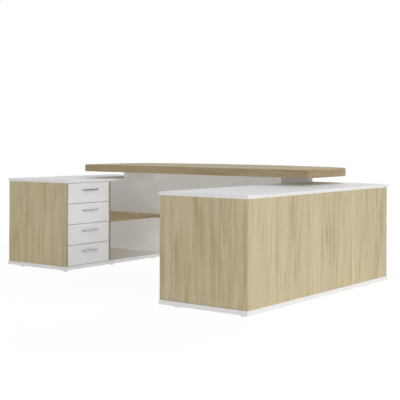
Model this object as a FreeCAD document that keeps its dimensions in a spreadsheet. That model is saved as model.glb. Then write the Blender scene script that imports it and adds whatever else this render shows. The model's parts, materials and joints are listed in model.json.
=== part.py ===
import FreeCAD, Part
import os
import re

import Sketcher
from FreeCAD import Rotation, Vector

# An executive desk in a U: a long cabinet at the right, a shorter one with four drawers at the left,
# and a bow-fronted worktop that bridges them on two narrow risers, with a modesty panel below it.
# X runs along the worktop to the right, Y away from the person who sits at it, Z up from the floor.
# The origin lies on the floor under the middle of the desk. All sizes are in millimetres.

SIZES = {
    # plan of the desk
    "knee_space": 1360,         # between the inner faces of the two cabinets
    "right_width": 600,         # right cabinet's carcass, inner face to outer face
    "left_width": 590,          # left cabinet's carcass, inner face to outer face
    "right_length": 1630,       # right cabinet's carcass, near end to far end
    "left_length": 1100,        # left cabinet's carcass, near end to far end
    "left_setback": 624,        # left cabinet's near end behind the right one's
    "near_overhang": 8,         # base and top past the carcass at its near end
    "base_overhang": 10,        # base past the carcass at its far end
    "top_overhang": 30,         # top past the carcass at its far end
    "side_overhang": 2,         # base and top past the carcass at its outer side
    # heights
    "foot_height": 20,
    "base_board": 25,
    "carcass_height": 587,      # upright boards between base and top
    "top_board": 19,
    "riser_height": 47,         # open gap between a cabinet's top and the worktop
    "worktop_thick": 52,
    # boards of the carcasses
    "side_board": 18,
    "shelf_board": 18,
    "shelf_setback": 6,         # shelf's front edge behind the cabinet's inner face
    "shelf_play": 0.5,          # at each end of a shelf
    # shelf clips
    "clip_width": 20,
    "clip_reach": 12,
    "clip_drop": 14,
    "clip_metal": 2,
    "clip_inset": 40,           # from the shelf's front or back edge
    # worktop and what carries it
    "worktop_length": 1960,
    "worktop_lap": 308,         # right end past the right cabinet's inner face
    "worktop_end_depth": 621,   # near edge to where an end would meet the curved edge
    "worktop_bow": 208,         # how far the curved edge stands past that point
    "worktop_corner": 300,      # radius of the two far corners
    "worktop_reach": 517,       # near edge to the right carcass's far end
    "worktop_round": 3,         # softened edges
    "riser_board": 18,
    "riser_length": 414,
    "modesty_board": 18,
    "modesty_drop": 300,        # how far the panel hangs below the worktop
    # drawers
    "drawer_opening": 422,      # clear width between near end and divider
    "drawer_back_room": 54,     # free space behind a closed drawer
    "front_board": 18,
    "front_gap": 3,             # all round each drawer front
    "box_board": 12,
    "box_rise": 20,             # box's lower edge above the front's lower edge
    "box_drop": 22,             # box's upper edge below the front's upper edge
    "bottom_board": 4,
    "groove_rise": 10,          # bottom's groove above the box's lower edge
    "groove_depth": 6,
    "groove_play": 0.2,
    # nested channel runners
    "runner_gap": 13,           # between drawer side and carcass
    "rail_height": 40,
    "rail_reach": 9.5,
    "rail_metal": 1.5,
    "rail_play": 0.3,           # between the inner and the outer channel
    "rail_setback": 2,          # outer channel behind the closed front
    # handles
    "handle_length": 148,
    "handle_proud": 30,
    "handle_bar": 7,
    "handle_leg": 9,
    "handle_height": 10,
    "handle_bend": 10,          # radius of the two outer corners
    "handle_drop": 49,          # handle's axis below the front's upper edge
    # feet
    "foot_radius": 16,
    "foot_neck": 11,
    "foot_plate": 19,
    "foot_plate_thick": 3,
    "foot_pad_thick": 8,
    "foot_inset": 75,           # from the base's edges
    # cable outlet in the right top
    "outlet_side_inset": 98,    # from the outer face
    "outlet_far_inset": 155,    # from the top's far edge
    "outlet_hole": 34,          # radius of the hole in the top
    "outlet_flange": 40,        # radius of the flange
    "outlet_flange_thick": 3,
    "outlet_wall": 2,
    "outlet_ledge": 3,          # the cap rests on it
    "outlet_play": 0.3,
    "outlet_tail": 4,           # sleeve below the top
    "notch_radius": 9,          # cable slot at the cap's far edge
    "notch_inset": 5,           # slot's centre from the cap's edge
}

# Places and sizes that follow from the ones above.
PLACES = {
    "desk_width": "left_width + knee_space + right_width + 2 * side_overhang",
    "left_inner": "side_overhang + left_width - desk_width / 2",
    "right_inner": "left_inner + knee_space",
    "left_inside": "left_width - side_board",
    "right_inside": "right_width - side_board",
    "desk_depth": "near_overhang + right_length - worktop_reach + worktop_end_depth + worktop_bow",
    "right_near": "near_overhang - desk_depth / 2",
    "right_far": "right_near + right_length",
    "right_top_far": "right_far + top_overhang",
    "left_near": "right_near + left_setback",
    "left_far": "left_near + left_length",
    "base_over": "foot_height + base_board",
    "carcass_over": "base_over + carcass_height",
    "top_over": "carcass_over + top_board",
    "worktop_under": "top_over + riser_height",
    "worktop_near": "right_far - worktop_reach",
    "worktop_middle": "right_inner + worktop_lap - worktop_length / 2",
    "worktop_radius": "worktop_length * worktop_length / (8 * worktop_bow) + worktop_bow / 2",
    "right_bay": "(right_length - 3 * side_board) / 2",
    "right_divider_near": "right_near + side_board + right_bay",
    "opening_near": "left_near + side_board",
    "left_divider_near": "opening_near + drawer_opening",
    "left_bay": "left_length - 3 * side_board - drawer_opening",
    "shelf_under": "base_over + (carcass_height - shelf_board) / 2",
    "front_height": "(carcass_height - 5 * front_gap) / 4",
    "box_height": "front_height - box_rise - box_drop",
    "box_depth": "left_inside - front_board - drawer_back_room",
    "box_inside": "drawer_opening - 2 * runner_gap - 2 * box_board",
    "groove_height": "bottom_board + groove_play",
    "inner_rail_height": "rail_height - 2 * rail_metal - 2 * rail_play",
    "sleeve_radius": "outlet_hole - outlet_play",
    "sleeve_bore": "sleeve_radius - outlet_wall",
    "cap_radius": "sleeve_bore - outlet_play",
}

doc = FreeCAD.newDocument("executive_desk")
sheet = doc.addObject("Spreadsheet::Sheet", "Sizes")
for row, (alias, size) in enumerate(SIZES.items(), start=1):
    sheet.set(f"A{row}", alias)
    sheet.set(f"B{row}", str(size))
    sheet.setAlias(f"B{row}", alias)
doc.recompute()

NODES = []


def formula(text):
    """The expression for a piece of arithmetic on named sizes and places."""
    def spell(match):
        word = match.group(0)
        if word in SIZES:
            return "Sizes." + word
        if word in PLACES:
            return "(" + formula(PLACES[word]) + ")"
        return word
    return re.sub(r"[a-z][a-z_]*", spell, text)


def amount(text):
    """What such arithmetic comes to now, as a starting value for a sketch."""
    return float(sheet.evalExpression(formula(text)))


def put(piece, place, turn=0):
    """Set a piece down at a tied place, turned about the upright axis by so many degrees."""
    piece.Placement = FreeCAD.Placement(Vector(), Rotation(Vector(0, 0, 1), turn))
    for axis, text in zip("xyz", place):
        piece.setExpression("Placement.Base." + axis, formula(text))
    return piece


def node(piece):
    """Count a finished piece among the ones that are written out."""
    NODES.append(piece)
    return piece


def board(label, low, size):
    """A flat board from its lowest corner and its extent along X, Y and Z."""
    box = doc.addObject("Part::Box", label)
    box.Label = label
    for side, text in zip(("Length", "Width", "Height"), size):
        box.setExpression(side, formula(text))
    return put(box, low)


def rod(label, radius, height, place):
    """An upright cylinder from the middle of its lower end."""
    cylinder = doc.addObject("Part::Cylinder", label)
    cylinder.setExpression("Radius", formula(radius))
    cylinder.setExpression("Height", formula(height))
    return put(cylinder, place)


def less(label, whole, bit):
    """A piece with another one cut out of it."""
    cut = doc.addObject("Part::Cut", label)
    cut.Label = label
    cut.Base = whole
    cut.Tool = bit
    return cut


def body_of(label):
    body = doc.addObject("PartDesign::Body", label)
    body.Label = label
    return body


def sketch_on(body, plane):
    """An empty sketch on one of the body's own origin planes."""
    sketch = body.newObject("Sketcher::SketchObject", body.Name + "_sketch")
    for feature in body.Origin.OriginFeatures:
        if feature.Role == plane:
            sketch.AttachmentSupport = [(feature, "")]
    sketch.MapMode = "FlatFace"
    return sketch


def outline(body, plane, points):
    """A closed outline of straight lines whose corners are each tied to two formulas."""
    sketch = sketch_on(body, plane)
    corners = [Vector(amount(along), amount(up), 0) for along, up in points]
    count = len(corners)
    for index, corner in enumerate(corners):
        sketch.addGeometry(Part.LineSegment(corner, corners[(index + 1) % count]))
    for index in range(count):
        sketch.addConstraint(Sketcher.Constraint("Coincident", index, 2, (index + 1) % count, 1))
    for index, (along, up) in enumerate(points):
        for kind, text, axis in (("DistanceX", along, -2), ("DistanceY", up, -1)):
            if text == "0":
                sketch.addConstraint(Sketcher.Constraint("PointOnObject", index, 1, axis))
                continue
            tie = sketch.addConstraint(Sketcher.Constraint(kind, -1, 1, index, 1, amount(text)))
            sketch.setExpression(f"Constraints[{tie}]", formula(text))
    return sketch


def pad(body, sketch, length):
    feature = body.newObject("PartDesign::Pad", body.Name + "_pad")
    feature.Profile = sketch
    feature.setExpression("Length", formula(length))
    return feature


def turned(body, points):
    """A solid of revolution about the upright axis, from half its section."""
    feature = body.newObject("PartDesign::Revolution", body.Name + "_turned")
    sketch = outline(body, "XZ_Plane", points)
    feature.Profile = sketch
    feature.ReferenceAxis = (sketch, ["V_Axis"])
    feature.Angle = 360
    body.Tip = feature
    return body


def rounded(body, base, edges, radius):
    feature = body.newObject("PartDesign::Fillet", body.Name + "_round")
    feature.Base = (base, edges)
    feature.setExpression("Radius", formula(radius))
    return feature


def group(label, pieces):
    """Like pieces that share one node as separate solids."""
    compound = doc.addObject("Part::Compound", label)
    compound.Label = label
    compound.Links = pieces
    return node(compound)


def across(side, start, width):
    """Low x of a board that begins `start` behind its cabinet's inner face and is `width` wide."""
    if side == "right":
        return f"right_inner + {start}"
    return f"left_inner - ({start} + {width})"


# Carcasses
# Each cabinet stands on a base board. The near end covers the outer side's edge, the far end fits between
# the outer side and the inner face, and the top lies on all of them. The inner face is open.
def panel(label, side, under, thickness, far_overhang):
    """A base or a top: it reaches past the carcass at both ends and at the outer side."""
    width = f"({side}_width + side_overhang)"
    low = (across(side, "0", width), f"{side}_near - near_overhang", under)
    return board(label, low, (width, f"{side}_length + near_overhang + {far_overhang}", thickness))


for side in ("right", "left"):
    near = f"{side}_near"
    whole_x = across(side, "0", f"{side}_width")
    upright_x = across(side, "0", f"{side}_inside")
    outer_x = across(side, f"{side}_inside", "side_board")
    upright_size = (f"{side}_inside", "side_board", "carcass_height")
    node(panel(f"{side}_base", side, "foot_height", "base_board", "base_overhang"))
    node(board(f"{side}_near_end", (whole_x, near, "base_over"),
               (f"{side}_width", "side_board", "carcass_height")))
    node(board(f"{side}_outer_side", (outer_x, f"{near} + side_board", "base_over"),
               ("side_board", f"{side}_length - side_board", "carcass_height")))
    node(board(f"{side}_far_end", (upright_x, f"{side}_far - side_board", "base_over"), upright_size))
    node(board(f"{side}_divider", (upright_x, f"{side}_divider_near", "base_over"), upright_size))

# Tops
# The right one has a round hole near its far outer corner for the cable outlet.
outlet_x = "right_inner + right_width - outlet_side_inset"
outlet_y = "right_top_far - outlet_far_inset"
node(panel("left_top", "left", "carcass_over", "top_board", "top_overhang"))
right_blank = panel("right_top_blank", "right", "carcass_over", "top_board", "top_overhang")
right_hole = rod("right_top_hole", "outlet_hole", "top_board", (outlet_x, outlet_y, "carcass_over"))
node(less("right_top", right_blank, right_hole))

# Cable outlet
# A flanged sleeve drops into the hole, and its cap lies on a ledge inside, flush with the flange. The cap
# leaves a half-round slot at its far edge for the cables.
sleeve = turned(body_of("outlet_sleeve"), [
    ("sleeve_bore - outlet_ledge", "-outlet_ledge"),
    ("sleeve_bore", "-outlet_ledge"),
    ("sleeve_bore", "-top_board - outlet_tail"),
    ("sleeve_radius", "-top_board - outlet_tail"),
    ("sleeve_radius", "0"),
    ("outlet_flange", "0"),
    ("outlet_flange - outlet_flange_thick / 2", "outlet_flange_thick"),
    ("sleeve_bore", "outlet_flange_thick"),
    ("sleeve_bore", "0"),
    ("sleeve_bore - outlet_ledge", "0"),
])
node(put(sleeve, (outlet_x, outlet_y, "top_over")))
disc = rod("outlet_disc", "cap_radius", "outlet_flange_thick", (outlet_x, outlet_y, "top_over"))
notch = rod("outlet_notch", "notch_radius", "outlet_flange_thick",
            (outlet_x, f"{outlet_y} + cap_radius - notch_inset", "top_over"))
node(less("outlet_cap", disc, notch))

# Shelves
# One shelf halfway up each open bay, on four angle clips that are fixed to the uprights.
BAYS = {
    "left_shelf": ("left", "left_divider_near + side_board", "left_bay"),
    "right_near_shelf": ("right", "right_near + side_board", "right_bay"),
    "right_far_shelf": ("right", "right_divider_near + side_board", "right_bay"),
}
CLIP_PROFILE = [
    ("0", "0"),
    ("clip_reach", "0"),
    ("clip_reach", "-clip_metal"),
    ("clip_metal", "-clip_metal"),
    ("clip_metal", "-clip_drop"),
    ("0", "-clip_drop"),
]
clips = []
for shelf, (side, bay_near, bay_length) in BAYS.items():
    shelf_depth = f"({side}_inside - shelf_setback)"
    shelf_x = across(side, "shelf_setback", shelf_depth)
    node(board(shelf, (shelf_x, f"{bay_near} + shelf_play", "shelf_under"),
               (shelf_depth, f"{bay_length} - 2 * shelf_play", "shelf_board")))
    starts = ("shelf_setback + clip_inset", f"{side}_inside - clip_inset - clip_width")
    for start in starts:
        clip_x = across(side, start, "clip_width")
        for turn in (0, 180):
            clip = body_of(f"{shelf}_clip")
            pad(clip, outline(clip, "YZ_Plane", CLIP_PROFILE), "clip_width")
            if turn == 0:
                put(clip, (clip_x, bay_near, "shelf_under"))
            else:
                put(clip, (f"{clip_x} + clip_width", f"{bay_near} + {bay_length}", "shelf_under"), turn)
            clips.append(clip)
group("shelf_clips", clips)

# Feet
# Turned glides under the base boards: a pad on the floor, a tapered neck, and a plate against the board.
FOOT_SECTION = [
    ("0", "0"),
    ("foot_radius", "0"),
    ("foot_radius", "foot_pad_thick"),
    ("foot_neck", "foot_height - foot_plate_thick"),
    ("foot_plate", "foot_height - foot_plate_thick"),
    ("foot_plate", "foot_height"),
    ("0", "foot_height"),
]
for side in ("right", "left"):
    first = f"{side}_near - near_overhang + foot_inset"
    span = f"({side}_length + near_overhang + base_overhang - 2 * foot_inset)"
    feet = []
    for start in ("foot_inset", f"({side}_width + side_overhang - foot_inset)"):
        for share in ("0", "1 / 2", "1"):
            foot = turned(body_of(f"{side}_foot"), FOOT_SECTION)
            put(foot, (across(side, start, "0"), f"{first} + {span} * {share}", "0"))
            feet.append(foot)
    group(f"{side}_feet", feet)

# Worktop
# A thick board with a straight near edge, straight ends and one long arc on the far side. The far corners
# are rounded in plan, and the edges of both faces are softened.
worktop = body_of("worktop")
plan = sketch_on(worktop, "XY_Plane")
half = amount("worktop_length") / 2
end_depth = amount("worktop_end_depth")
near_left = Vector(-half, 0, 0)
near_right = Vector(half, 0, 0)
far_right = Vector(half, end_depth, 0)
far_left = Vector(-half, end_depth, 0)
crown = Vector(0, end_depth + amount("worktop_bow"), 0)
plan.addGeometry(Part.LineSegment(near_left, near_right))
plan.addGeometry(Part.LineSegment(near_right, far_right))
plan.addGeometry(Part.Arc(far_right, crown, far_left))
plan.addGeometry(Part.LineSegment(far_left, near_left))
NEAR_EDGE, RIGHT_END, BOW, LEFT_END = range(4)
plan.addConstraint(Sketcher.Constraint("Coincident", NEAR_EDGE, 2, RIGHT_END, 1))
plan.addConstraint(Sketcher.Constraint("Coincident", RIGHT_END, 2, BOW, 1))
plan.addConstraint(Sketcher.Constraint("Coincident", BOW, 2, LEFT_END, 1))
plan.addConstraint(Sketcher.Constraint("Coincident", LEFT_END, 2, NEAR_EDGE, 1))
plan.addConstraint(Sketcher.Constraint("PointOnObject", NEAR_EDGE, 1, -1))
plan.addConstraint(Sketcher.Constraint("Symmetric", NEAR_EDGE, 1, NEAR_EDGE, 2, -2))
plan.addConstraint(Sketcher.Constraint("Vertical", RIGHT_END))
plan.addConstraint(Sketcher.Constraint("Vertical", LEFT_END))
plan.addConstraint(Sketcher.Constraint("Equal", RIGHT_END, LEFT_END))
PLAN_SIZES = (
    ("Distance", NEAR_EDGE, "worktop_length"),
    ("Distance", RIGHT_END, "worktop_end_depth"),
    ("Radius", BOW, "worktop_radius"),
)
for kind, part, text in PLAN_SIZES:
    tie = plan.addConstraint(Sketcher.Constraint(kind, part, amount(text)))
    plan.setExpression(f"Constraints[{tie}]", formula(text))
slab = pad(worktop, plan, "worktop_thick")
doc.recompute()
far_corners = []
for index, edge in enumerate(slab.Shape.Edges, start=1):
    upright = abs(edge.Vertexes[0].Z - edge.Vertexes[-1].Z) > amount("worktop_thick") / 2
    if upright and edge.Vertexes[0].Y > end_depth / 2:
        far_corners.append(f"Edge{index}")
curved = rounded(worktop, slab, far_corners, "worktop_corner")
doc.recompute()
flat_faces = []
for index, face in enumerate(curved.Shape.Faces, start=1):
    if abs(face.normalAt(0, 0).z) > 0.9:
        flat_faces.append(f"Face{index}")
worktop.Tip = rounded(worktop, curved, flat_faces, "worktop_round")
node(put(worktop, ("worktop_middle", "worktop_near", "worktop_under")))

# Risers and modesty panel
# Two narrow boards stand on the cabinets' tops along their inner edges and carry the worktop. The modesty
# panel hangs between them, from the worktop's underside, against the edge of the right cabinet's far end.
for side in ("right", "left"):
    riser_low = (across(side, "0", "riser_board"), "right_top_far - riser_length", "top_over")
    node(board(f"{side}_riser", riser_low, ("riser_board", "riser_length", "riser_height")))
node(board("modesty_panel", ("left_inner", "right_far - modesty_board", "worktop_under - modesty_drop"),
           ("knee_space", "modesty_board", "modesty_drop")))

# Drawers
# Four drawers, one above the other, numbered from the top. Each front closes flush between the near end and
# the divider. The box behind it has grooved sides that hold the bottom, and a back that stands on it.
SIDE_PROFILE = [
    ("0", "0"),
    ("box_board", "0"),
    ("box_board", "groove_rise"),
    ("box_board - groove_depth", "groove_rise"),
    ("box_board - groove_depth", "groove_rise + groove_height"),
    ("box_board", "groove_rise + groove_height"),
    ("box_board", "box_height"),
    ("0", "box_height"),
]


def channel(label, height, length, place, turn):
    """One steel channel of a runner, open towards +Y before it is turned."""
    half_out = f"{height} / 2"
    half_in = f"({height} / 2 - rail_metal)"
    rail = body_of(label)
    section = outline(rail, "YZ_Plane", [
        ("0", f"-{half_out}"),
        ("rail_reach", f"-{half_out}"),
        ("rail_reach", f"-{half_in}"),
        ("rail_metal", f"-{half_in}"),
        ("rail_metal", half_in),
        ("rail_reach", half_in),
        ("rail_reach", half_out),
        ("0", half_out),
    ])
    pad(rail, section, length)
    return put(rail, place, turn)


def handle(label, place):
    """A flat bar bent into a bow, with rounded corners, its two legs against the drawer front."""
    bow = body_of(label)
    gap = "(handle_proud - handle_bar)"
    section = outline(bow, "XY_Plane", [
        ("0", "0"),
        ("handle_proud", "0"),
        ("handle_proud", "handle_length"),
        ("0", "handle_length"),
        ("0", "handle_length - handle_leg"),
        (gap, "handle_length - handle_leg"),
        (gap, "handle_leg"),
        ("0", "handle_leg"),
    ])
    flat = pad(bow, section, "handle_height")
    doc.recompute()
    corners = []
    for index, edge in enumerate(flat.Shape.Edges, start=1):
        upright = abs(edge.Vertexes[0].Z - edge.Vertexes[-1].Z) > amount("handle_height") / 2
        if upright and edge.Vertexes[0].X > amount("handle_proud") - amount("handle_bar") / 2:
            corners.append(f"Edge{index}")
    bow.Tip = rounded(bow, flat, corners, "handle_bend")
    return put(bow, place)


for number in (1, 2, 3, 4):
    name = f"drawer_{number}"
    front_over = f"(carcass_over - front_gap - {number - 1} * (front_height + front_gap))"
    front_under = f"({front_over} - front_height)"
    box_under = f"({front_under} + box_rise)"
    bottom_under = f"({box_under} + groove_rise)"
    box_front = "(left_inner - front_board)"
    box_rear = f"({box_front} - box_depth)"
    near_side = "(opening_near + runner_gap)"
    far_side = "(opening_near + drawer_opening - runner_gap)"
    node(board(f"{name}_front", (box_front, "opening_near + front_gap", front_under),
               ("front_board", "drawer_opening - 2 * front_gap", "front_height")))
    near_board = body_of(f"{name}_near_side")
    pad(near_board, outline(near_board, "YZ_Plane", SIDE_PROFILE), "box_depth")
    node(put(near_board, (box_rear, near_side, box_under)))
    far_board = body_of(f"{name}_far_side")
    pad(far_board, outline(far_board, "YZ_Plane", SIDE_PROFILE), "box_depth")
    node(put(far_board, (box_front, far_side, box_under), 180))
    tongue = "(groove_depth - groove_play)"
    node(board(f"{name}_bottom", (box_rear, f"{near_side} + box_board - {tongue}", bottom_under),
               ("box_depth", f"box_inside + 2 * {tongue}", "bottom_board")))
    node(board(f"{name}_back", (box_rear, f"{near_side} + box_board", f"{bottom_under} + bottom_board"),
               ("box_board", "box_inside", "box_height - groove_rise - bottom_board")))
    node(handle(f"{name}_handle", ("left_inner", "opening_near + drawer_opening / 2 - handle_length / 2",
                                   f"{front_over} - handle_drop - handle_height / 2")))
    rail_axis = f"{box_under} + box_height / 2"
    rail_front = f"({box_front} - rail_setback)"
    outer_length = "box_depth - rail_setback"
    opening_far = "(opening_near + drawer_opening)"
    fixed = (f"{name}_cabinet_rail", "rail_height", outer_length)
    moving = (f"{name}_rail", "inner_rail_height", "box_depth")
    group(f"{name}_cabinet_rails", [
        channel(*fixed, (box_rear, "opening_near", rail_axis), 0),
        channel(*fixed, (rail_front, opening_far, rail_axis), 180),
    ])
    group(f"{name}_rails", [
        channel(*moving, (box_front, near_side, rail_axis), 180),
        channel(*moving, (box_rear, far_side, rail_axis), 0),
    ])

# Every object has to have come out sound before anything is written.
doc.recompute()
for item in doc.Objects:
    if "Invalid" in item.State or "Error" in item.State:
        raise RuntimeError(f"{item.Label} did not come out: {item.State}")
os.makedirs("parts", exist_ok=True)
for piece in NODES:
    if piece.Shape.isNull() or not piece.Shape.isValid():
        raise RuntimeError(f"{piece.Label} is not a sound solid")
for piece in NODES:
    piece.Shape.exportStep(f"parts/{piece.Label}.step")
print(len(NODES), "nodes written")
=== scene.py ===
import json
import math

import bmesh
import bpy
from mathutils import Matrix, Vector

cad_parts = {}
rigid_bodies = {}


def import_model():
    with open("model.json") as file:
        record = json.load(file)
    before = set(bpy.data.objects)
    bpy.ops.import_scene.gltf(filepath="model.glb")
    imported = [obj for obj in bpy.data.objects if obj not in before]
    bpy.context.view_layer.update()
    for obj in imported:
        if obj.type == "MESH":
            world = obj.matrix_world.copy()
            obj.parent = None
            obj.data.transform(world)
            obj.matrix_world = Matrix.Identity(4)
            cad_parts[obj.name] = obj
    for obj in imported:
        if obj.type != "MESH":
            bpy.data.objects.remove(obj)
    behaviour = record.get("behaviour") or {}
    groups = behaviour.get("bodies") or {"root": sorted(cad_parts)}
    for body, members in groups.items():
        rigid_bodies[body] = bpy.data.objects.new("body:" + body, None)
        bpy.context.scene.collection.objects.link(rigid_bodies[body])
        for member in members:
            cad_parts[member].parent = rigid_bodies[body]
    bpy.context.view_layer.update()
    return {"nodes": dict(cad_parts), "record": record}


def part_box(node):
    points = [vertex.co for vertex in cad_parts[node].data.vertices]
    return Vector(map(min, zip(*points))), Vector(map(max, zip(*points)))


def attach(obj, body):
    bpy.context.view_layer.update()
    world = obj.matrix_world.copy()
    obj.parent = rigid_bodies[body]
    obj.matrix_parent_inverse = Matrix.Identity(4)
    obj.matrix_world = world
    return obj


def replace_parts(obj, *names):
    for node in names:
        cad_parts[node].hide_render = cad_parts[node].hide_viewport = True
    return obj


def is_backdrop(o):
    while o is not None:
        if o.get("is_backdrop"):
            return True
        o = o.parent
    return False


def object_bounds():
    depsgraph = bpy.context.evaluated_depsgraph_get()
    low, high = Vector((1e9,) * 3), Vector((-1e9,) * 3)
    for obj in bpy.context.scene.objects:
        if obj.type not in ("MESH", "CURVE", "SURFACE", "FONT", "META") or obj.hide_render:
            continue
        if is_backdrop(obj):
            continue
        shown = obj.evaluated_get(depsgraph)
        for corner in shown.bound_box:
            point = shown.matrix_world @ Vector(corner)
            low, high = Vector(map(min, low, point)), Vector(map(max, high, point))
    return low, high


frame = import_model()

# Base boards
# Each cabinet stands on one 25 mm chipboard panel. Its faces are white melamine, pressed with a fine
# pearl texture, and a white ABS band is glued round its rim, with the corners eased by the edging machine.
# Sizes are in metres here and below, and the sizes of patterns in millimetres.
EDGE_RADIUS = 0.0012
EDGE_STEPS = 3
SHARP_ANGLE = math.radians(25)
SQUARE = 0.999
FACING = 0.9
SIDES = {"-X": (-1, 0, 0), "+X": (1, 0, 0), "-Y": (0, -1, 0), "+Y": (0, 1, 0),
         "-Z": (0, 0, -1), "+Z": (0, 0, 1)}
BODY_OF = {node: body for body, nodes in frame["record"]["behaviour"]["bodies"].items() for node in nodes}


def linear(hex_colour):
    """An sRGB colour such as "#EEEEEC" as the linear colour that a shader takes."""
    shares = [int(hex_colour[start:start + 2], 16) / 255 for start in (1, 3, 5)]
    return [s / 12.92 if s <= 0.04045 else ((s + 0.055) / 1.055) ** 2.4 for s in shares] + [1.0]


def add(tree, kind, inputs=None, stops=None, **settings):
    """Add a shader node, with its settings and with values or other nodes' outputs on its inputs."""
    made = tree.nodes.new("ShaderNode" + kind)
    for name, value in settings.items():
        setattr(made, name, value)
    for place, value in (inputs or {}).items():
        if isinstance(value, bpy.types.NodeSocket):
            tree.links.new(value, made.inputs[place])
        else:
            made.inputs[place].default_value = value
    # A new ramp has two stops, its ends, so those are given first and a stop between them after.
    for index, (place, colour) in enumerate(stops or []):
        ends = made.color_ramp.elements
        stop = ends[index] if index < len(ends) else ends.new(place)
        stop.position = place
        stop.color = linear(colour)
    return made


def new_material(name):
    """An empty material and its tree, with the object's own coordinates to hang patterns on."""
    material = bpy.data.materials.new(name)
    material.use_nodes = True
    tree = material.node_tree
    tree.nodes.clear()
    return material, tree, add(tree, "TexCoord").outputs["Object"]


def white_board(name, light, shade, gloss, pearl_mm):
    """White decor on a board: an even white that drifts a little, with a fine pearl bump and soft sheen."""
    drift_mm = 420
    material, tree, place = new_material(name)
    drift = add(tree, "TexNoise", {"Vector": place, "Scale": 1000 / drift_mm, "Detail": 2.0})
    colour = add(tree, "ValToRGB", {"Fac": drift.outputs["Fac"]}, [(0.35, shade), (0.65, light)])
    sheen = add(tree, "MapRange", {"Value": drift.outputs["Fac"], "From Min": 0.3, "From Max": 0.7,
                                   "To Min": gloss - 0.04, "To Max": gloss + 0.04})
    pearl = add(tree, "TexNoise", {"Vector": place, "Scale": 1000 / pearl_mm, "Detail": 3.0})
    bump = add(tree, "Bump", {"Height": pearl.outputs["Fac"], "Strength": 0.06, "Distance": 0.0003})
    shader = add(tree, "BsdfPrincipled", {"Base Color": colour.outputs["Color"], "IOR": 1.5,
                                          "Roughness": sheen.outputs["Result"],
                                          "Normal": bump.outputs["Normal"]})
    add(tree, "OutputMaterial", {"Surface": shader.outputs["BSDF"]})
    return material


# The real pearl is about half a millimetre across, and is drawn coarser here so that it can show.
white_melamine = white_board("white_melamine", "#F5F5F6", "#F2F2F3", 0.42, 2.5)
white_band = white_board("white_abs_band", "#F6F6F6", "#F3F3F3", 0.34, 6.0)


def make_piece(mesh, name, finishes, body):
    """Turn a mesh into a finished piece that rides on a body and takes its finish from a slot."""
    data = bpy.data.meshes.new(name)
    mesh.to_mesh(data)
    mesh.free()
    for finish in finishes:
        data.materials.append(finish)
    piece = bpy.data.objects.new(name, data)
    bpy.context.scene.collection.objects.link(piece)
    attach(piece, body)
    return piece


def stand_for(node, mesh, *finishes):
    """Show a mesh in place of a CAD node, on the node's own body."""
    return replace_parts(make_piece(mesh, node + "_piece", finishes, BODY_OF[node]), node)


def ease(mesh, radius, steps=EDGE_STEPS):
    """Turn a mesh's faces outwards and round its sharp edges. Faces square to an axis are shaded flat."""
    bmesh.ops.recalc_face_normals(mesh, faces=mesh.faces)
    sharp = [edge for edge in mesh.edges if edge.calc_face_angle() > SHARP_ANGLE]
    bmesh.ops.bevel(mesh, geom=sharp, offset=radius, affect="EDGES", segments=steps, profile=0.5,
                    material=-1, clamp_overlap=True)
    mesh.normal_update()
    for face in mesh.faces:
        face.smooth = max(abs(share) for share in face.normal) < SQUARE


def paint(mesh, sides):
    """Number the faces that look to a named side, from 1 in the order of the names. The rest keep 0."""
    for face in mesh.faces:
        for number, side in enumerate(sides, start=1):
            if face.normal.dot(Vector(SIDES[side])) > FACING:
                face.material_index = number


def block(low, high):
    """A plain box between two corners, as a new mesh."""
    mesh = bmesh.new()
    bmesh.ops.create_cube(mesh, size=1.0)
    bmesh.ops.scale(mesh, vec=high - low, verts=mesh.verts)
    bmesh.ops.translate(mesh, vec=(low + high) / 2, verts=mesh.verts)
    return mesh


def board(node, rim, faces, radius=EDGE_RADIUS):
    """An edged panel in the place of a CAD board: rim is its band, faces the finishes of named sides."""
    mesh = block(*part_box(node))
    ease(mesh, radius)
    paint(mesh, faces)
    return stand_for(node, mesh, rim, *faces.values())


for side in ("left", "right"):
    board(f"{side}_base", white_band, {"-Z": white_melamine, "+Z": white_melamine})

# Feet
# Turned glides of white moulded plastic, in two rows under each base: a pad on the floor, a tapered neck
# and a plate that is screwed to the underside of the board.
FOOT_INSET = 0.075
FEET_IN_ROW = 3
FOOT_SECTION = ((0, 0), (0.016, 0), (0.016, 0.008), (0.011, 0.017), (0.019, 0.017), (0.019, 0.020),
                (0, 0.020))
FOOT_RADIUS = 0.0012
TURNED_STEPS = 40
MERGE_DISTANCE = 1e-5


def moulded(name, light, shade, gloss, grain_mm):
    """Moulded plastic: a matt spark-eroded skin with hardly any drift in its colour."""
    material, tree, place = new_material(name)
    grain = add(tree, "TexNoise", {"Vector": place, "Scale": 1000 / grain_mm, "Detail": 2.0})
    colour = add(tree, "ValToRGB", {"Fac": grain.outputs["Fac"]}, [(0.3, shade), (0.7, light)])
    bump = add(tree, "Bump", {"Height": grain.outputs["Fac"], "Strength": 0.15, "Distance": 0.0001})
    shader = add(tree, "BsdfPrincipled", {"Base Color": colour.outputs["Color"], "IOR": 1.46,
                                          "Roughness": gloss, "Normal": bump.outputs["Normal"]})
    add(tree, "OutputMaterial", {"Surface": shader.outputs["BSDF"]})
    return material


# The real grain of the mould is about a tenth of a millimetre, and is drawn coarser so that it can show.
white_plastic = moulded("white_moulded_plastic", "#F4F4F3", "#EFEFED", 0.42, 0.8)


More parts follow.
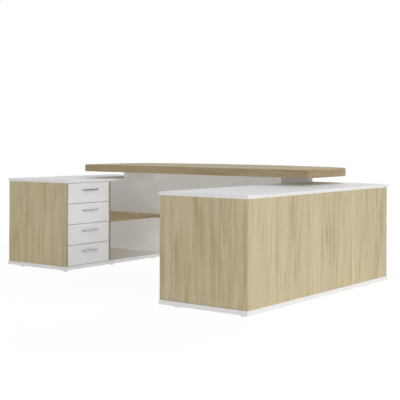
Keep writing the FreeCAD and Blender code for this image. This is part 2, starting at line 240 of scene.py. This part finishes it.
def turn(section, centre, radius):
    """A turned piece about an upright axis, from half its section as (radius, height) points."""
    mesh = bmesh.new()
    points = [mesh.verts.new(centre + Vector((reach, 0, rise))) for reach, rise in section]
    for start, end in zip(points, points[1:]):
        mesh.edges.new((start, end))
    bmesh.ops.spin(mesh, geom=mesh.verts[:] + mesh.edges[:], cent=centre, axis=(0, 0, 1), angle=2 * math.pi,
                   steps=TURNED_STEPS, use_merge=True)
    bmesh.ops.remove_doubles(mesh, verts=mesh.verts, dist=MERGE_DISTANCE)
    ease(mesh, radius)
    return mesh


def verts_in(made):
    """The vertices among the things that an operator has made."""
    return [item for item in made if isinstance(item, bmesh.types.BMVert)]


for side in ("left", "right"):
    low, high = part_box(f"{side}_base")
    step = Vector((0, (high.y - low.y - 2 * FOOT_INSET) / (FEET_IN_ROW - 1), 0))
    across = Vector((high.x - low.x - 2 * FOOT_INSET, 0, 0))
    mesh = turn(FOOT_SECTION, Vector((low.x + FOOT_INSET, low.y + FOOT_INSET, 0)), FOOT_RADIUS)
    one = mesh.verts[:] + mesh.edges[:] + mesh.faces[:]
    for number in range(1, 2 * FEET_IN_ROW):
        copy = bmesh.ops.duplicate(mesh, geom=one)["geom"]
        away = step * (number % FEET_IN_ROW) + across * (number // FEET_IN_ROW)
        bmesh.ops.translate(mesh, vec=away, verts=verts_in(copy))
    stand_for(f"{side}_feet", mesh, white_plastic)

# Uprights
# The near ends, outer sides and dividers are 18 mm chipboard in a printed light oak decor under satin
# melamine, with the grain upright. Inside the cabinets they are a greyer, warmer white, which is painted
# shade for the insides. The far ends are white all over.
# The edges that face the sitter have a darker oak band, the outer corners one in the decor's tone.
DECOR_STAVE_MM = 150
BAND_STAVE_MM = 4000
STAVE_SEAM_MM = 3.0


def oak(name, along, stave_mm, light, middle, dark, pore, gloss):
    """Printed oak in glued staves, each with its own tone and its own flames, streaks, fibres and pores."""
    material, tree, place = new_material(name)
    sideways = [float(axis not in along) for axis in "XYZ"]
    across = add(tree, "VectorMath", {0: place, 1: sideways}, operation="DOT_PRODUCT")
    laid = {"W": across.outputs["Value"], "Scale": 1000 / stave_mm, "Randomness": 0.9}
    stave = add(tree, "TexVoronoi", laid, voronoi_dimensions="1D").outputs["Color"]
    seam = add(tree, "TexVoronoi", laid, voronoi_dimensions="1D", feature="DISTANCE_TO_EDGE")
    own_place = add(tree, "VectorMath", {0: place, 1: stave}, operation="ADD")

    def drawn_out(width_mm, length_mm, detail, waver):
        """A noise of this width and length, drawn out along the grain."""
        shape = [1000 / (length_mm if axis in along else width_mm) for axis in "XYZ"]
        stretched = add(tree, "Mapping", {"Vector": own_place.outputs["Vector"], "Scale": shape})
        return add(tree, "TexNoise", {"Vector": stretched.outputs["Vector"], "Scale": 1.0, "Detail": detail,
                                      "Roughness": 0.55, "Distortion": waver}).outputs["Fac"]

    flames = drawn_out(60, 480, 1.5, 0.9)
    streaks = drawn_out(26, 330, 1.5, 0.3)
    fibres = drawn_out(3.2, 120, 2.0, 0.1)
    pores = drawn_out(1.6, 22, 1.0, 0.0)
    drift = drawn_out(180, 700, 1.0, 0.4)
    figure = add(tree, "Mix", {0: 0.5, 2: flames, 3: streaks}, data_type="FLOAT")
    grain = add(tree, "Mix", {0: 0.14, 2: figure.outputs[0], 3: fibres}, data_type="FLOAT")
    colour = add(tree, "ValToRGB", {"Fac": grain.outputs[0]}, [(0.36, dark), (0.62, light), (0.48, middle)])
    depth = add(tree, "MapRange", {"Value": pores, "From Min": 0.60, "From Max": 0.72, "To Max": 0.4})
    line = add(tree, "MapRange", {"Value": seam.outputs["Distance"], "From Max": STAVE_SEAM_MM / stave_mm,
                                  "To Min": 0.6, "To Max": 0.0})
    sunk = add(tree, "Math", {0: depth.outputs["Result"], 1: line.outputs["Result"]}, operation="MAXIMUM")
    pitted = add(tree, "Mix", {0: sunk.outputs[0], 6: colour.outputs["Color"], 7: linear(pore)},
                 data_type="RGBA")
    lean = add(tree, "MapRange", {"Value": drift, "From Min": 0.35, "From Max": 0.65,
                                  "To Min": 0.498, "To Max": 0.506})
    tone = add(tree, "MapRange", {"Value": stave, "From Min": 0.2, "From Max": 0.8,
                                  "To Min": 0.955, "To Max": 1.035})
    tinted = add(tree, "HueSaturation", {"Hue": lean.outputs["Result"], "Value": tone.outputs["Result"],
                                         "Color": pitted.outputs[2]})
    sheen = add(tree, "MapRange", {"Value": grain.outputs[0], "From Min": 0.35, "From Max": 0.65,
                                   "To Min": gloss + 0.06, "To Max": gloss - 0.03})
    relief = add(tree, "Mix", {0: 0.5, 2: fibres, 3: pores}, data_type="FLOAT")
    bump = add(tree, "Bump", {"Height": relief.outputs[0], "Strength": 0.12, "Distance": 0.0003},
               invert=True)
    shader = add(tree, "BsdfPrincipled", {"Base Color": tinted.outputs["Color"], "Specular IOR Level": 0.05,
                                          "Roughness": sheen.outputs["Result"],
                                          "Normal": bump.outputs["Normal"]})
    add(tree, "OutputMaterial", {"Surface": shader.outputs["BSDF"]})
    return material


# On the real decor the seams are hair lines and the pores a few tenths of a millimetre wide. Both are drawn
# wider so that they can show. A band is one strip, so its stave is wider than any board.
upright_oak = oak("upright_oak_decor", "Z", DECOR_STAVE_MM, "#D9CBAC", "#D1C2A1", "#C1AF88", "#A79367", 0.46)
upright_band = oak("upright_oak_band", "Z", BAND_STAVE_MM, "#AE9D7E", "#A69577", "#9A8766", "#867350", 0.42)
end_band = oak("end_oak_band", "Z", BAND_STAVE_MM, "#C1AF8F", "#B9A787", "#AC9977", "#95825E", 0.42)
# The inside white is greyer and warmer than the outside white: painted shade for the cabinets' insides.
inner_white_painted_shade = white_board("inner_white_painted_shade", "#E6E5E2", "#E2E1DE", 0.42, 2.5)

board("left_near_end", end_band, {"-Y": upright_oak, "+Y": inner_white_painted_shade, "-X": upright_oak})
board("right_near_end", end_band, {"-Y": upright_oak, "+Y": inner_white_painted_shade, "+X": upright_oak})
board("left_outer_side", upright_oak, {"-X": upright_oak, "+X": inner_white_painted_shade})
board("right_outer_side", upright_oak, {"+X": upright_oak, "-X": inner_white_painted_shade})
for side in ("left", "right"):
    board(f"{side}_divider", upright_band, {"-Y": inner_white_painted_shade, "+Y": upright_oak})
    board(f"{side}_far_end", white_band, {"-Y": white_melamine, "+Y": white_melamine})

# Shelves
# One 18 mm oak shelf in each open bay, with the grain along its length and a darker band on its edges. It
# lies on four angle clips of zinc-plated steel, each held to its upright by one small pan-head screw.
CLIP_WIDTH = 0.020
CLIP_INSET = 0.040
CLIP_METAL = 0.002
CLIP_SCREW_DROP = 0.008
CLIP_SCREW = (0.003, 0.0014)
SHELF_PLAY = 0.0005
HEAD_SIDES = 24
HEAD_TAPER = 0.82
CROSS_ARM = HEAD_SIDES // 4
CROSS_RIM = 0.3
CROSS_WAIST = 0.45
CROSS_DEPTH = 0.6
shelf_oak = oak("shelf_oak_decor", "Y", DECOR_STAVE_MM, "#DCCAA9", "#D3C09D", "#C4AE85", "#A89163", 0.46)
shelf_band = oak("shelf_oak_band", "Y", BAND_STAVE_MM, "#B7A684", "#AF9E7D", "#A3906C", "#8E7A55", 0.42)


def bare_metal(name, light, shade, rough, along, width_mm, length_mm):
    """Plated steel: bright metal whose finish varies in fine lines drawn out along one axis."""
    material, tree, place = new_material(name)
    shape = [1000 / (length_mm if axis == along else width_mm) for axis in "XYZ"]
    lines = add(tree, "Mapping", {"Vector": place, "Scale": shape})
    brushed = add(tree, "TexNoise", {"Vector": lines.outputs["Vector"], "Scale": 1.0, "Detail": 3.0})
    colour = add(tree, "ValToRGB", {"Fac": brushed.outputs["Fac"]}, [(0.3, shade), (0.7, light)])
    gloss = add(tree, "MapRange", {"Value": brushed.outputs["Fac"], "From Min": 0.3, "From Max": 0.7,
                                   "To Min": rough + 0.06, "To Max": rough - 0.06})
    bump = add(tree, "Bump", {"Height": brushed.outputs["Fac"], "Strength": 0.08, "Distance": 0.0001})
    shader = add(tree, "BsdfPrincipled", {"Base Color": colour.outputs["Color"], "Metallic": 1.0,
                                          "Roughness": gloss.outputs["Result"],
                                          "Normal": bump.outputs["Normal"]})
    add(tree, "OutputMaterial", {"Surface": shader.outputs["BSDF"]})
    return material


# Real draw and brush lines are finer than a tenth of a millimetre, and are drawn coarser so that they show.
zinc_steel = bare_metal("zinc_plated_steel", "#C9CBCD", "#B4B7BA", 0.38, "X", 1.5, 25)


def dress(node, finish):
    """Keep a CAD node as it is and give it a finish."""
    for place in frame["nodes"][node].material_slots:
        place.material = finish


def screw_head(mesh, place, way, size):
    """Add a pan-head screw to a mesh: a low button whose middle is sunk into a cross."""
    radius, height = size
    stand = Matrix.Translation(place + way * height / 2) @ way.to_track_quat("Z", "Y").to_matrix().to_4x4()
    head = bmesh.ops.create_cone(mesh, cap_ends=True, segments=HEAD_SIDES, radius1=radius,
                                 radius2=radius * HEAD_TAPER, depth=height, matrix=stand)["verts"]
    caps = {face for vert in head for face in vert.link_faces if len(face.verts) == HEAD_SIDES}
    top = max(caps, key=lambda face: face.calc_center_median().dot(way))
    bmesh.ops.inset_individual(mesh, faces=[top], thickness=radius * CROSS_RIM)
    middle = top.calc_center_median()
    for index, vert in enumerate(top.verts):
        if index % CROSS_ARM not in (0, 1, CROSS_ARM - 1):
            vert.co = middle.lerp(vert.co, CROSS_WAIST)
    sunk = bmesh.ops.extrude_discrete_faces(mesh, faces=[top])["faces"]
    bmesh.ops.translate(mesh, vec=-way * height * CROSS_DEPTH, verts=sunk[0].verts[:])


clip_screws = bmesh.new()
for shelf in ("left_shelf", "right_near_shelf", "right_far_shelf"):
    board(shelf, shelf_band, {"-Z": shelf_oak, "+Z": shelf_oak})
    low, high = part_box(shelf)
    front, rear = (high.x, low.x) if shelf == "left_shelf" else (low.x, high.x)
    inwards = math.copysign(CLIP_INSET + CLIP_WIDTH / 2, rear - front)
    for x in (front + inwards, rear - inwards):
        for y, way in ((low.y - SHELF_PLAY + CLIP_METAL, 1), (high.y + SHELF_PLAY - CLIP_METAL, -1)):
            screw_head(clip_screws, Vector((x, y, low.z - CLIP_SCREW_DROP)), Vector((0, way, 0)), CLIP_SCREW)
dress("shelf_clips", zinc_steel)
make_piece(clip_screws, "shelf_clip_screws", [zinc_steel], "desk")

# Drawers
# Each drawer is a box of 12 mm foiled chipboard with a painted hardboard bottom in grooves. Its white front
# board closes flush between near end and divider; its upper and lower rims and eased edges are a light grey,
# painted shade that darkens the gaps between the fronts. Zinc-plated channels are screwed to the cabinet
# and, nested in them, to the box. Two screws hold each bow handle.
BOX_RADIUS = 0.0006
BOX_STEPS = 2
GROOVE_RISE = 0.010
GROOVE_HEIGHT = 0.0042
GROOVE_DEPTH = 0.006
HARDBOARD_RADIUS = 0.0003
RAIL_METAL = 0.0015
RAIL_SCREWS = (0.12, 0.5, 0.88)
RAIL_SCREW = (0.0035, 0.0016)
HANDLE_SCREW = (0.0042, 0.0024)
HANDLE_LEG = 0.009
HANDLE_BAR = 0.007
HANDLE_BEND = 0.010
HANDLE_INNER_BEND = 0.0025
HANDLE_RADIUS = 0.0016
HANDLE_STEPS = 8
# The grey on the fronts' upper and lower rims and eased edges is painted shade that darkens the gaps.
front_rim_painted_shade = white_board("grey_rim_painted_shade", "#B4B4B2", "#AEAEAC", 0.34, 6.0)
drawer_foil = white_board("white_drawer_foil", "#E8E8E5", "#E3E3E0", 0.55, 3.5)
hardboard = white_board("painted_hardboard", "#E2E0DA", "#DAD7CF", 0.62, 1.8)
satin_nickel = bare_metal("satin_nickel_plate", "#C0C0C1", "#AAAAAB", 0.20, "Y", 0.6, 30)


def thicken(mesh, outline, along):
    """Draw the flat faces of an outline out into a solid."""
    drawn = bmesh.ops.extrude_face_region(mesh, geom=outline)["geom"]
    bmesh.ops.translate(mesh, vec=along, verts=verts_in(drawn))


def prism(points, along):
    """A solid with the same section all along, from the corners of that section."""
    mesh = bmesh.new()
    outline = bmesh.ops.contextual_create(mesh, geom=[mesh.verts.new(point) for point in points])["faces"]
    thicken(mesh, outline, along)
    return mesh


for number in (1, 2, 3, 4):
    name = f"drawer_{number}"
    board(f"{name}_front", front_rim_painted_shade, {"-X": white_melamine, "+X": white_melamine,
                                        "-Y": white_band, "+Y": white_band})
    board(f"{name}_back", drawer_foil, {}, BOX_RADIUS)
    board(f"{name}_bottom", hardboard, {}, HARDBOARD_RADIUS)
    screws = bmesh.new()
    for piece in ("near_side", "far_side"):
        low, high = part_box(f"{name}_{piece}")
        outer, inner = (low.y, high.y) if piece == "near_side" else (high.y, low.y)
        root = inner + math.copysign(GROOVE_DEPTH, outer - inner)
        groove = low.z + GROOVE_RISE
        section = [(outer, low.z), (inner, low.z), (inner, groove), (root, groove),
                   (root, groove + GROOVE_HEIGHT), (inner, groove + GROOVE_HEIGHT), (inner, high.z),
                   (outer, high.z)]
        mesh = prism([(low.x, y, z) for y, z in section], Vector((high.x - low.x, 0, 0)))
        ease(mesh, BOX_RADIUS, BOX_STEPS)
        stand_for(f"{name}_{piece}", mesh, drawer_foil)
        outwards = Vector((0, math.copysign(1, outer - inner), 0))
        for share in RAIL_SCREWS:
            seat = Vector((low.x + share * (high.x - low.x), outer, (low.z + high.z) / 2))
            screw_head(screws, seat + outwards * RAIL_METAL, outwards, RAIL_SCREW)
    dress(f"{name}_rails", zinc_steel)
    dress(f"{name}_cabinet_rails", zinc_steel)

    low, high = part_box(f"{name}_handle")
    bar = high.x - HANDLE_BAR
    plan = [(low.x, low.y), (high.x, low.y), (high.x, high.y), (low.x, high.y), (low.x, high.y - HANDLE_LEG),
            (bar, high.y - HANDLE_LEG), (bar, low.y + HANDLE_LEG), (low.x, low.y + HANDLE_LEG)]
    mesh = prism([(x, y, low.z) for x, y in plan], Vector((0, 0, high.z - low.z)))
    for reach, bend in ((high.x, HANDLE_BEND), (bar, HANDLE_INNER_BEND)):
        bent = [edge for edge in mesh.edges
                if all(abs(vert.co.x - reach) < MERGE_DISTANCE for vert in edge.verts)
                and abs(edge.verts[0].co.z - edge.verts[1].co.z) > MERGE_DISTANCE]
        bmesh.ops.bevel(mesh, geom=bent, offset=bend, affect="EDGES", segments=HANDLE_STEPS, profile=0.5,
                        material=-1)
    ease(mesh, HANDLE_RADIUS)
    stand_for(f"{name}_handle", mesh, satin_nickel)
    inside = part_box(f"{name}_front")[0].x
    for y in (low.y + HANDLE_LEG / 2, high.y - HANDLE_LEG / 2):
        screw_head(screws, Vector((inside, y, (low.z + high.z) / 2)), Vector((-1, 0, 0)), HANDLE_SCREW)
    make_piece(screws, f"{name}_screws", [zinc_steel], name)

# Tops
# White 19 mm panels like the bases, laid on the uprights. The right one is drilled near its far outer
# corner for the cable outlet.
OUTLET_HOLE = 0.034
OUTLET_STEPS = 72
outlet_low, outlet_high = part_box("outlet_sleeve")
outlet = (outlet_low + outlet_high) / 2
board("left_top", white_band, {"-Z": white_melamine, "+Z": white_melamine})
low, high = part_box("right_top")
mesh = bmesh.new()
bmesh.ops.create_circle(mesh, segments=OUTLET_STEPS, radius=OUTLET_HOLE,
                        matrix=Matrix.Translation((outlet.x, outlet.y, low.z)))
corners = ((low.x, low.y), (high.x, low.y), (high.x, high.y), (low.x, high.y))
rim = [mesh.verts.new((x, y, low.z)) for x, y in corners]
for start, end in zip(rim, rim[1:] + rim[:1]):
    mesh.edges.new((start, end))
bmesh.ops.triangle_fill(mesh, use_beauty=True, edges=mesh.edges[:])
thicken(mesh, mesh.faces[:], (0, 0, high.z - low.z))
ease(mesh, EDGE_RADIUS)
paint(mesh, {"-Z": white_melamine, "+Z": white_melamine})
stand_for("right_top", mesh, white_band, white_melamine, white_melamine)

# Cable outlet
# A white moulded sleeve with a flange drops into the hole. Its round cap lies on a ledge inside, flush with
# the flange, and leaves a half-round slot for the cables.
SLEEVE_BORE = 0.0317
SLEEVE_RADIUS = 0.0337
SLEEVE_LEDGE = 0.003
FLANGE_THICK = 0.003
CAP_RADIUS = 0.0314
NOTCH_RADIUS = 0.009
NOTCH_REACH = 0.0264
MOULD_RADIUS = 0.0007
seat = Vector((outlet.x, outlet.y, high.z))
flange = (outlet_high.x - outlet_low.x) / 2
tail = outlet_low.z - high.z
sleeve = [(SLEEVE_BORE - SLEEVE_LEDGE, -SLEEVE_LEDGE), (SLEEVE_BORE, -SLEEVE_LEDGE), (SLEEVE_BORE, tail),
          (SLEEVE_RADIUS, tail), (SLEEVE_RADIUS, 0), (flange, 0), (flange - FLANGE_THICK / 2, FLANGE_THICK),
          (SLEEVE_BORE, FLANGE_THICK), (SLEEVE_BORE, 0), (SLEEVE_BORE - SLEEVE_LEDGE, 0)]
stand_for("outlet_sleeve", turn(sleeve + sleeve[:1], seat, MOULD_RADIUS), white_plastic)
cut = math.acos((CAP_RADIUS ** 2 + NOTCH_REACH ** 2 - NOTCH_RADIUS ** 2) / (2 * CAP_RADIUS * NOTCH_REACH))
notch_cut = math.acos((CAP_RADIUS * math.cos(cut) - NOTCH_REACH) / NOTCH_RADIUS)
mesh = bmesh.new()
corner = mesh.verts.new(seat + Vector((-math.sin(cut), math.cos(cut), 0)) * CAP_RADIUS)
round_edge = bmesh.ops.spin(mesh, geom=[corner], cent=seat, axis=(0, 0, 1), angle=2 * (math.pi - cut),
                            steps=OUTLET_STEPS)["geom_last"]
bmesh.ops.spin(mesh, geom=round_edge, cent=seat + Vector((0, NOTCH_REACH, 0)), axis=(0, 0, 1),
               angle=-2 * (math.pi - notch_cut), steps=TURNED_STEPS)
bmesh.ops.remove_doubles(mesh, verts=mesh.verts, dist=MERGE_DISTANCE)
disc = bmesh.ops.contextual_create(mesh, geom=mesh.edges[:])["faces"]
thicken(mesh, disc, (0, 0, FLANGE_THICK))
ease(mesh, MOULD_RADIUS)
stand_for("outlet_cap", mesh, white_plastic)

# Risers and modesty panel
# Narrow white boards on edge along the inner edges of the tops carry the worktop, and a white panel hangs
# between them, screwed to both and to the edge of the right cabinet's far end.
PANEL_RADIUS = 0.0004
for side in ("left", "right"):
    board(f"{side}_riser", white_band, {"-X": white_melamine, "+X": white_melamine})
board("modesty_panel", white_band, {"-Y": white_melamine, "+Y": white_melamine}, PANEL_RADIUS)

# Worktop
# A 52 mm panel with a straight near edge, one long bow on the visitors' side and wide round corners. Oak
# decor runs along it, and a darker oak band follows the rim, with softened edges.
WORKTOP_END_DEPTH = 0.621
WORKTOP_CORNER = 0.300
WORKTOP_RADIUS = 0.003
BOW_STEPS = 120
CORNER_STEPS = 32
worktop_oak = oak("worktop_oak_decor", "X", DECOR_STAVE_MM, "#C7B896", "#BFB08D", "#B19E76", "#968358", 0.44)
worktop_band = oak("worktop_oak_band", "XY", BAND_STAVE_MM, "#C3B08F", "#BBA886", "#AE9974", "#98845E", 0.42)
low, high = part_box("worktop")
middle = (low.x + high.x) / 2
half_length = high.x - middle
bow = high.y - low.y - WORKTOP_END_DEPTH
bow_radius = (half_length ** 2 + bow ** 2) / (2 * bow)
bow_centre = Vector((middle, high.y - bow_radius, low.z))
corner_reach = half_length - WORKTOP_CORNER
corner_rise = math.sqrt((bow_radius - WORKTOP_CORNER) ** 2 - corner_reach ** 2)
corner_sweep = math.atan2(corner_rise, corner_reach)
right_centre = bow_centre + Vector((corner_reach, corner_rise, 0))
left_centre = bow_centre + Vector((-corner_reach, corner_rise, 0))
mesh = bmesh.new()
right_end = mesh.verts.new(right_centre + Vector((WORKTOP_CORNER, 0, 0)))
left_end = right_end
for centre, sweep, steps in ((right_centre, corner_sweep, CORNER_STEPS),
                             (bow_centre, math.pi - 2 * corner_sweep, BOW_STEPS),
                             (left_centre, corner_sweep, CORNER_STEPS)):
    left_end = bmesh.ops.spin(mesh, geom=[left_end], cent=centre, axis=(0, 0, 1), angle=sweep,
                              steps=steps)["geom_last"][0]
near_left = mesh.verts.new(low)
near_right = mesh.verts.new((high.x, low.y, low.z))
for start, end in ((left_end, near_left), (near_left, near_right), (near_right, right_end)):
    mesh.edges.new((start, end))
plan = bmesh.ops.contextual_create(mesh, geom=mesh.edges[:])["faces"]
thicken(mesh, plan, (0, 0, high.z - low.z))
ease(mesh, WORKTOP_RADIUS)
paint(mesh, {"-Z": worktop_oak, "+Z": worktop_oak})
stand_for("worktop", mesh, worktop_band, worktop_oak, worktop_oak)

# Floor, light and camera
# A white studio: a pale floor that fades into a white surround, an even sky, large soft lamps, and bounced
# light from below. The lamps that cast no shadow open up the shade under the worktop and in the bays. The
# camera stands where the photograph was taken from.
FLOOR_RADIUS = 9.0
FLOOR_STEPS = 96
SHADOW_SHARE = 0.10
FADE_NEAR, FADE_FAR = 2.2, 5.0
SKY_STRENGTH = 0.15
LAMP_DISTANCE = 28.0
LAMP_SIZE = 12.0
LAMPS = {
    # name: degrees round from the near side towards the right, degrees up, watts, casts shadows
    "low_softbox": (90, 22, 2110, True),
    "high_softbox": (42, 35, 1080, True),
    "far_softbox": (180, 40, 2340, True),
    "left_fill": (-100, 30, 200, True),
    "near_fill": (0, 20, 1430, False),
    "shaded_bounce": (60, -25, 1080, True),
    "floor_bounce": (60, -25, 1030, False),
}
PHOTO_SIDE = 400
FOCAL_PIXELS = 947.2
HORIZON_ROW = 138.7
CAMERA_PLACE = (4.057, -5.080, 0.948)
CAMERA_YAW = math.radians(37.014)
CAMERA_ROLL = math.radians(0.209)
SENSOR_MM = 36


def seen_directly(tree):
    """One where the camera looks, also by way of metal or glass, and nought where light only bounces."""
    path = add(tree, "LightPath")
    looks = add(tree, "Math", {0: path.outputs["Is Camera Ray"], 1: path.outputs["Is Glossy Ray"]},
                operation="MAXIMUM")
    return add(tree, "Math", {0: looks.outputs[0], 1: path.outputs["Is Transmission Ray"]},
               operation="MAXIMUM")


floor_finish, tree, place = new_material("studio_floor")
seen = seen_directly(tree)
reach = add(tree, "VectorMath", {0: place}, operation="LENGTH")
faded = add(tree, "MapRange", {"Value": reach.outputs["Value"], "From Min": FADE_NEAR, "From Max": FADE_FAR,
                               "To Min": 1 - SHADOW_SHARE, "To Max": 1.0}, interpolation_type="SMOOTHSTEP")
share = add(tree, "Math", {0: seen.outputs[0], 1: faded.outputs["Result"]}, operation="MULTIPLY")
paper = add(tree, "BsdfDiffuse", {"Color": linear("#F0F0F0")})
glow = add(tree, "Emission", {"Color": linear("#FFFFFF"), "Strength": 1.05})
both = add(tree, "MixShader", {0: share.outputs[0], 1: paper.outputs["BSDF"], 2: glow.outputs["Emission"]})
add(tree, "OutputMaterial", {"Surface": both.outputs["Shader"]})
mesh = bmesh.new()
bmesh.ops.create_circle(mesh, cap_ends=True, segments=FLOOR_STEPS, radius=FLOOR_RADIUS)
floor_data = bpy.data.meshes.new("floor")
mesh.to_mesh(floor_data)
mesh.free()
floor_data.materials.append(floor_finish)
floor = bpy.data.objects.new("floor", floor_data)
bpy.context.scene.collection.objects.link(floor)
floor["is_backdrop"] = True

world = bpy.data.worlds.new("white_studio")
world.use_nodes = True
world.node_tree.nodes.clear()
bpy.context.scene.world = world
tree = world.node_tree
seen = seen_directly(tree)
sky = add(tree, "Background", {"Color": linear("#FFFFFF"), "Strength": SKY_STRENGTH})
white = add(tree, "Background", {"Color": linear("#FFFFFF"), "Strength": 1.0})
both = add(tree, "MixShader", {0: seen.outputs[0], 1: sky.outputs["Background"],
                               2: white.outputs["Background"]})
add(tree, "OutputWorld", {"Surface": both.outputs["Shader"]})

# The bounced light has to pass the floor, so the lamps are shaded by the desk's pieces alone.
shading = bpy.data.collections.new("shading_pieces")
for piece in bpy.context.scene.collection.objects:
    if piece.type == "MESH" and piece is not floor:
        shading.objects.link(piece)
for name, (round_from_near, up, watts, shadows) in LAMPS.items():
    lamp = bpy.data.lights.new(name, "AREA")
    lamp.energy = watts
    lamp.size = LAMP_SIZE
    lamp.use_shadow = shadows
    swing = Matrix.Rotation(math.radians(round_from_near), 4, "Z")
    tilt = Matrix.Rotation(math.radians(90 - up), 4, "X")
    holder = bpy.data.objects.new(name, lamp)
    holder.matrix_world = swing @ tilt @ Matrix.Translation((0, 0, LAMP_DISTANCE))
    holder.light_linking.blocker_collection = shading
    bpy.context.scene.collection.objects.link(holder)

lens = bpy.data.cameras.new("camera")
lens.sensor_width = SENSOR_MM
lens.lens = FOCAL_PIXELS / PHOTO_SIDE * SENSOR_MM
lens.shift_y = (HORIZON_ROW - PHOTO_SIDE / 2) / PHOTO_SIDE
camera = bpy.data.objects.new("camera", lens)
level = Matrix.Rotation(math.radians(90), 4, "X")
turned = Matrix.Rotation(CAMERA_YAW, 4, "Z") @ level @ Matrix.Rotation(CAMERA_ROLL, 4, "Z")
camera.matrix_world = Matrix.Translation(CAMERA_PLACE) @ turned
bpy.context.scene.collection.objects.link(camera)
bpy.context.scene.camera = camera
bpy.context.scene.view_settings.view_transform = "Standard"

low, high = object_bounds()
